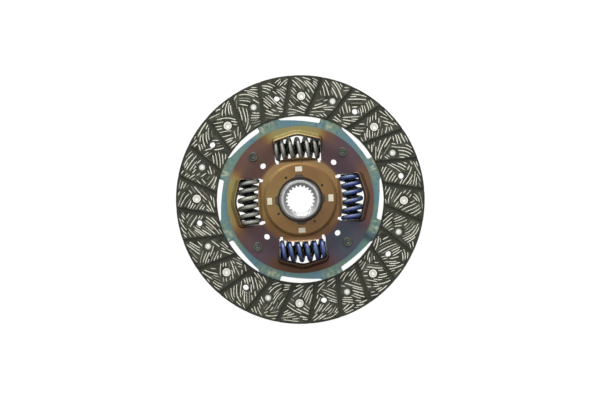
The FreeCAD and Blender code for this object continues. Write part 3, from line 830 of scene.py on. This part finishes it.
paint(hubMaterial(), "hub")
paint(steelMaterial("pinSteel", pinSteel), "stop_pins")
paint(steelMaterial("washerSteel", washerSteel), "thrust_washer", "cone_spring")

rivet = {
    "metallic": 0.85,
    "roughness": 0.3,
    "plating": tone(252, 251, 240),
    "shade": tone(244, 242, 230),
    "cloudGrain": (600, 3, 0.6),
    "cloudEase": (0.35, 0.7),
    "ring": tone(176, 174, 158),    # rolled edge round the hollow end
    "ringBand": (2.03, 2.67, 0.15),     # mm from the rivet's own axis
    "ringShare": 0.7,
    "platingBump": (0.15, 0.1),
}


def fromRivet(tree, at, firstAngle):
    # distance in mm from the nearest rivet axis of one pattern
    turned = maths(tree, "SUBTRACT", at.angle, math.radians(firstAngle))
    folded = maths(tree, "PINGPONG", turned, math.radians(180 / facing["rivetCount"]))
    ahead = maths(tree, "SUBTRACT", maths(tree, "MULTIPLY", at.radius, maths(tree, "COSINE", folded)),
                  facing["rivetRadius"])
    aside = maths(tree, "MULTIPLY", at.radius, maths(tree, "SINE", folded))
    square = maths(tree, "MULTIPLY_ADD", ahead, ahead, maths(tree, "MULTIPLY", aside, aside))
    return maths(tree, "SQRT", square)


def rivetMaterial():
    material, tree, shader = newMaterial("rivetPlate", rivet)
    place = partPlace(tree)
    at = polarPlace(tree, place)
    cloud = grain(tree, place, *rivet["cloudGrain"])
    colour = mixed(tree, ease(tree, cloud, *rivet["cloudEase"]), rivet["plating"], rivet["shade"])
    for firstAngle in (facing["headAngle"], facing["tailAngle"]):
        ring = band(tree, fromRivet(tree, at, firstAngle), *rivet["ringBand"])
        colour = mixed(tree, maths(tree, "MULTIPLY", ring, rivet["ringShare"]), colour, rivet["ring"])
    coat(tree, shader, colour, cloud, *rivet["platingBump"])
    return material


paint(rivetMaterial(), "facing_rivets_front", "facing_rivets_rear")

resin = {
    "cloudGrain": (300, 3, 0.6),
    "cloudEase": (0.35, 0.7),
    "skinGrain": (1200, 2),
    "skinBump": (0.15, 0.1),
}
creamResin = {
    "roughness": 0.55,
    "colour": tone(252, 248, 226),
    "shade": tone(246, 238, 208),
}
darkResin = {
    "roughness": 0.55,
    "colour": tone(56, 48, 44),
    "shade": tone(36, 31, 29),
}
bushResin = {
    "roughness": 0.5,
    "ring": tone(30, 27, 26),       # painted shade in the gap round the hub barrel
    "lug": tone(98, 82, 64),        # browned further out
    "lugEase": (19.9, 20.3),        # mm from the hub axis
    "shade": tone(40, 35, 31),
    "shadeShare": 0.4,
}


def resinMaterial(name, finish):
    material, tree, shader = newMaterial(name, finish)
    place = partPlace(tree)
    clouds = ease(tree, grain(tree, place, *resin["cloudGrain"]), *resin["cloudEase"])
    colour = mixed(tree, clouds, finish["colour"], finish["shade"])
    coat(tree, shader, colour, grain(tree, place, *resin["skinGrain"]), *resin["skinBump"])
    return material


def bushMaterial():
    material, tree, shader = newMaterial("bushResin", bushResin)
    place = partPlace(tree)
    at = polarPlace(tree, place)
    # painted shade on the ring round the hub barrel, browned lugs further out
    lug = ease(tree, at.radius, *bushResin["lugEase"])
    colour = mixed(tree, lug, bushResin["ring"], bushResin["lug"])
    cloud = grain(tree, place, *resin["cloudGrain"])
    clouds = ease(tree, cloud, *resin["cloudEase"], 0.0, bushResin["shadeShare"])
    colour = mixed(tree, clouds, colour, bushResin["shade"])
    coat(tree, shader, colour, grain(tree, place, *resin["skinGrain"]), *resin["skinBump"])
    return material


paint(resinMaterial("creamResin", creamResin), "friction_washer_front")
paint(resinMaterial("darkResin", darkResin), "friction_washer_rear", "rear_bush")
paint(bushMaterial(), "hub_bush")


print("stage: springs")
spring = {
    "circle": 46.1,             # mm, from the hub axis to the springs' own axis
    "height": 4.25,
    "halfLength": 20.6,
    "endTurns": 0.9,            # close turns at each end
    "endGap": 0.06,
    "blend": 0.5,
    "aim": 0.002,               # turns before and after a point that give the wire's direction
    "shortest": 0.793,          # length at full twist over length at rest
    "firstBlued": 2,            # the springs from this one on are blued
    "cutReach": 1e-5,           # mm, vertices this near to the end cut are put on it
    "squareness": 1e-4,
    "endReach": 0.01,           # mm
}
outerCoil = {
    "outerRadius": 10.5,
    "wireRadius": 2.0,
    "turns": 6.38,
    "hand": 1,
    "startAngles": (-54, -141, -134, -146),     # degrees round the spring's axis
    "perTurn": 40,
    "around": 20,
}
innerCoil = {
    "outerRadius": 5.2,
    "wireRadius": 1.15,
    "turns": 13.6,
    "hand": -1,
    "startAngles": (35, 35, 35, 35),
    "perTurn": 26,
    "around": 12,
}


def coilPoint(coil, startAngle, turn):
    # close turns at the ends, open ones between
    end, last, blend = spring["endTurns"], coil["turns"], spring["blend"]
    closePitch = 2 * coil["wireRadius"] + spring["endGap"]
    openPitch = (2 * spring["halfLength"] - closePitch * 2 * end) / (last - 2 * end)

    def softened(value):
        return max(value, 0) if abs(value) > blend else (value + blend) ** 2 / (4 * blend)

    opened = softened(turn - end) - softened(turn - last + end)
    along = closePitch * turn + (openPitch - closePitch) * opened - spring["halfLength"]
    mean = coil["outerRadius"] - coil["wireRadius"]
    angle = coil["hand"] * 2 * math.pi * turn + math.radians(startAngle)
    return Vector((along, spring["circle"] + mean * math.cos(angle),
                   spring["height"] + mean * math.sin(angle)))


def wireLoops(mesh, coil, startAngle):
    # rings of vertices round the wire, marked with the side they face and the turn they are on
    layers = mesh.verts.layers.float
    outside, flank, along = layers.new("outside"), layers.new("flank"), layers.new("along")
    count = int(coil["turns"] * coil["perTurn"])
    loops = []
    for i in range(count + 1):
        turn = coil["turns"] * i / count
        point = coilPoint(coil, startAngle, turn)
        tangent = (coilPoint(coil, startAngle, turn + spring["aim"])
                   - coilPoint(coil, startAngle, turn - spring["aim"])).normalized()
        outward = Vector((0, point.y - spring["circle"], point.z - spring["height"])).normalized()
        outward = (outward - tangent * outward.dot(tangent)).normalized()
        across = tangent.cross(outward)
        loop = []
        for k in range(coil["around"]):
            turned = 2 * math.pi * k / coil["around"]
            vert = mesh.verts.new(point + coil["wireRadius"] * (outward * math.cos(turned)
                                                                + across * math.sin(turned)))
            vert[outside], vert[flank], vert[along] = math.cos(turned), math.sin(turned), turn
            loop.append(vert)
        loops.append(loop)
    return loops


def grindEnds(mesh):
    # cut square to the spring's axis at both ends, and the ends kept flat
    half = spring["halfLength"]
    for side in (-1, 1):
        parts = list(mesh.verts) + list(mesh.edges) + list(mesh.faces)
        cut = bmesh.ops.bisect_plane(mesh, geom=parts, dist=spring["cutReach"], clear_outer=True,
                                     plane_co=(side * half, 0, 0), plane_no=(side, 0, 0))
        edges = [e for e in cut["geom_cut"] if isinstance(e, bmesh.types.BMEdge)]
        bmesh.ops.holes_fill(mesh, edges=edges, sides=0)
    for face in mesh.faces:
        square = abs(abs(face.normal.x) - 1) <= spring["squareness"]
        atEnd = abs(abs(face.calc_center_median().x) - half) <= spring["endReach"]
        face.smooth = not (square and atEnd)


def coilMesh(name, coil, startAngle, turnAngle):
    # a round wire swept along the coil and ground flat at both ends, turned to its window
    mesh = bmesh.new()
    addTube(mesh, wireLoops(mesh, coil, startAngle))
    bmesh.ops.recalc_face_normals(mesh, faces=mesh.faces)
    grindEnds(mesh)
    for vert in mesh.verts:
        x, y, z = vert.co
        vert.co = Vector((x * math.cos(turnAngle) - y * math.sin(turnAngle),
                          x * math.sin(turnAngle) + y * math.cos(turnAngle), z)) * mm
    return meshData(name, mesh)


wire = {
    "metallic": 0.5,
    "roughness": 0.42,
    "cloudGrain": (75, 3, 0.6),
    "alongShare": 0.5,
    "drawnGrain": (4.5, 3, 0.6),    # streaks left by drawing, along the wire
    "crestEase": (39, 51),          # mm from the hub axis, from inner to outer crest
    "cloudShare": 0.6,
    "flankEase": (0.2, 0.95),
    "edgeEase": (0.45, 0.9),
    "temperGrain": (120, 2),
    "temperEase": (0.5, 0.64, 0.0, 0.7),
    "streakEase": (0.46, 0.62, 0.0, 0.7),
    "insideShadeEase": (0.05, 0.5),
    "drawnBump": (0.08, 0.1),
}
plainTones = {
    "outerCrest": tone(208, 210, 201),
    # painted light: paler towards the hub, against the shade that falls on the coils' inner ends
    "innerCrest": tone(226, 226, 214),
    "flank": tone(122, 124, 118),
    "edge": tone(104, 106, 98),
    "temper": tone(206, 206, 186),
    "streak": tone(92, 92, 82),
    "insideShade": tone(18, 18, 17),
}
bluedTones = {
    "outerCrest": tone(104, 118, 168),
    "innerCrest": tone(140, 152, 160),
    "flank": tone(74, 92, 196),
    "edge": tone(128, 134, 136),
    "temper": tone(116, 152, 176),
    "streak": tone(70, 84, 140),
    "insideShade": tone(14, 16, 28),
}
# the inner springs' steel painted dark, as painted shade for where they lie inside the outer coils
shadedInnerTones = {
    "outerCrest": tone(76, 76, 76),
    "innerCrest": tone(80, 80, 78),
    "flank": tone(50, 50, 52),
    "edge": tone(40, 40, 42),
    "temper": tone(60, 60, 58),
    "streak": tone(42, 42, 46),
    "insideShade": tone(14, 14, 14),
}


def wireMaterial(name, tones):
    # bright on the coil's outside, coloured on its flanks, painted shade on its inside, drawn streaks along
    # it
    material, tree, shader = newMaterial(name, wire)
    place = partPlace(tree)
    at = polarPlace(tree, place)
    outside, flank, along = (attribute(tree, side) for side in ("outside", "flank", "along"))
    cloud = grain(tree, place, *wire["cloudGrain"])
    drawnPlace = vector(tree, outside, flank, maths(tree, "MULTIPLY", along, wire["alongShare"]))
    drawn = grain(tree, drawnPlace, *wire["drawnGrain"])
    crest = mixed(tree, ease(tree, at.radius, *wire["crestEase"]), tones["innerCrest"], tones["outerCrest"])
    nearSide = maths(tree, "MULTIPLY_ADD", cloud, wire["cloudShare"], maths(tree, "MULTIPLY", flank, -1))
    colour = mixed(tree, ease(tree, nearSide, *wire["flankEase"]), crest, tones["flank"])
    colour = mixed(tree, ease(tree, flank, *wire["edgeEase"]), colour, tones["edge"])
    temper = ease(tree, grain(tree, place, *wire["temperGrain"]), *wire["temperEase"])
    colour = mixed(tree, temper, colour, tones["temper"])
    colour = mixed(tree, ease(tree, drawn, *wire["streakEase"]), colour, tones["streak"])
    # painted shade on the coil's inside, which the far strands turn to the camera
    colour = mixed(tree, ease(tree, outside, *wire["insideShadeEase"]), tones["insideShade"], colour)
    coat(tree, shader, colour, drawn, *wire["drawnBump"])
    return material


def addCoil(name, coil, index, material, node):
    # a spring lies square to the middle line of its window
    turnAngle = math.radians(plate["windowAngle"] - 90 + 360 / plate["windowCount"] * index)
    piece = addObject(name, coilMesh(name, coil, coil["startAngles"][index], turnAngle))
    piece.data.materials.append(material)
    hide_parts(node)
    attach(piece, "springs")
    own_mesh(piece)


plainWire = wireMaterial("plainWire", plainTones)
bluedWire = wireMaterial("bluedWire", bluedTones)
# painted shade: the inner springs' steel made dark
shadedInnerWire = wireMaterial("shadedInnerWire", shadedInnerTones)
for index in range(plate["windowCount"]):
    number = index + 1
    blued = index >= spring["firstBlued"]
    addCoil("coil_spring_%d" % number, outerCoil, index, bluedWire if blued else plainWire,
            "torsion_spring_%d" % number)
    addCoil("inner_coil_%d" % number, innerCoil, index, shadedInnerWire, "inner_spring_%d" % number)


print("stage: floor, light and camera")
studio = {
    "floorSize": 8.0,           # metres
    "floorDrop": 0.02,          # mm below the part, so that the two don't share a face
    "floorDiffuse": 0.12,
    "floorBounce": 0.8,
    "backdrop": 0.97,
    "worldLight": 0.34,
    "worldLean": 0.92,          # how much brighter the light is from the top of the picture
}
lamps = {
    "topLamp": {"place": (0, 0.3, 1.8), "size": (1.8, 1.8), "power": 7.5},
    "keyLamp": {"place": (-0.3, 1.4, 0.55), "size": (1.6, 0.7), "power": 20},
}
white = (1, 1, 1, 1)


def floorMaterial():
    # white to the camera and in reflections, with a weak shadow of the object
    material = bpy.data.materials.new("paleFloor")
    material.use_nodes = True
    tree = material.node_tree
    tree.nodes.clear()
    path = tree.nodes.new("ShaderNodeLightPath")
    seen = maths(tree, "MAXIMUM", path.outputs["Is Camera Ray"], path.outputs["Is Glossy Ray"])
    seen = maths(tree, "MAXIMUM", seen, path.outputs["Is Transmission Ray"])
    glow = tree.nodes.new("ShaderNodeEmission")
    glow.inputs["Color"].default_value = white
    feed(tree, glow.inputs["Strength"], maths(tree, "MULTIPLY", seen, studio["backdrop"]))
    matt = tree.nodes.new("ShaderNodeBsdfDiffuse")
    shade = mixed(tree, seen, (studio["floorBounce"],) * 3 + (1,), (studio["floorDiffuse"],) * 3 + (1,))
    feed(tree, matt.inputs["Color"], shade)
    both = tree.nodes.new("ShaderNodeAddShader")
    tree.links.new(glow.outputs[0], both.inputs[0])
    tree.links.new(matt.outputs[0], both.inputs[1])
    out = tree.nodes.new("ShaderNodeOutputMaterial")
    tree.links.new(both.outputs[0], out.inputs["Surface"])
    return material


def addFloor():
    mesh = bmesh.new()
    bmesh.ops.create_grid(mesh, x_segments=1, y_segments=1, size=studio["floorSize"] / 2)
    floor = addObject("floor", meshData("floor", mesh))
    floor.location.z = cadLow.z - studio["floorDrop"] * mm
    floor.data.materials.append(floorMaterial())


def addWorld():
    # soft light all round, stronger from the top of the picture
    world = bpy.data.worlds.new("studioSky")
    bpy.context.scene.world = world
    world.use_nodes = True
    tree = world.node_tree
    tree.nodes.clear()
    split = tree.nodes.new("ShaderNodeSeparateXYZ")
    feed(tree, split.inputs[0], tree.nodes.new("ShaderNodeTexCoord").outputs["Generated"])
    around = maths(tree, "MULTIPLY_ADD", split.outputs["Y"], studio["worldLean"], 1.0)
    light = maths(tree, "MULTIPLY", around, studio["worldLight"])
    path = tree.nodes.new("ShaderNodeLightPath")
    sky = tree.nodes.new("ShaderNodeBackground")
    sky.inputs["Color"].default_value = white
    toWhite = maths(tree, "MULTIPLY", path.outputs["Is Camera Ray"], maths(tree, "SUBTRACT", 1.0, light))
    feed(tree, sky.inputs["Strength"], maths(tree, "ADD", light, toWhite))
    out = tree.nodes.new("ShaderNodeOutputWorld")
    tree.links.new(sky.outputs[0], out.inputs["Surface"])


def addLamp(name, place, size, power):
    lamp = bpy.data.lights.new(name, "AREA")
    lamp.shape = "RECTANGLE"
    lamp.size, lamp.size_y = size
    lamp.energy = power
    holder = addObject(name, lamp)
    holder.location = place
    holder.rotation_mode = "QUATERNION"
    holder.rotation_quaternion = (-Vector(place)).to_track_quat("-Z", "Y")


camera = {
    "height": 1.0,              # metres
    "spread": 0.54015,          # metres across the picture at the facing's face
    "shiftX": -0.00029,
    "shiftY": -0.00041,
    "nearest": 0.01,
    "furthest": 50,
    "sensor": 36.0,             # mm
}


def addCamera():
    data = bpy.data.cameras.new("camera")
    data.sensor_width = camera["sensor"]
    distance = camera["height"] - facing["topHeight"] * mm
    data.lens = camera["sensor"] * distance / camera["spread"]
    data.clip_start, data.clip_end = camera["nearest"], camera["furthest"]
    holder = addObject("camera", data)
    holder.location = (camera["shiftX"], camera["shiftY"], camera["height"])
    bpy.context.scene.camera = holder


addFloor()
addWorld()
for name, lamp in lamps.items():
    addLamp(name, **lamp)
addCamera()
bpy.context.scene.view_settings.view_transform = "Standard"
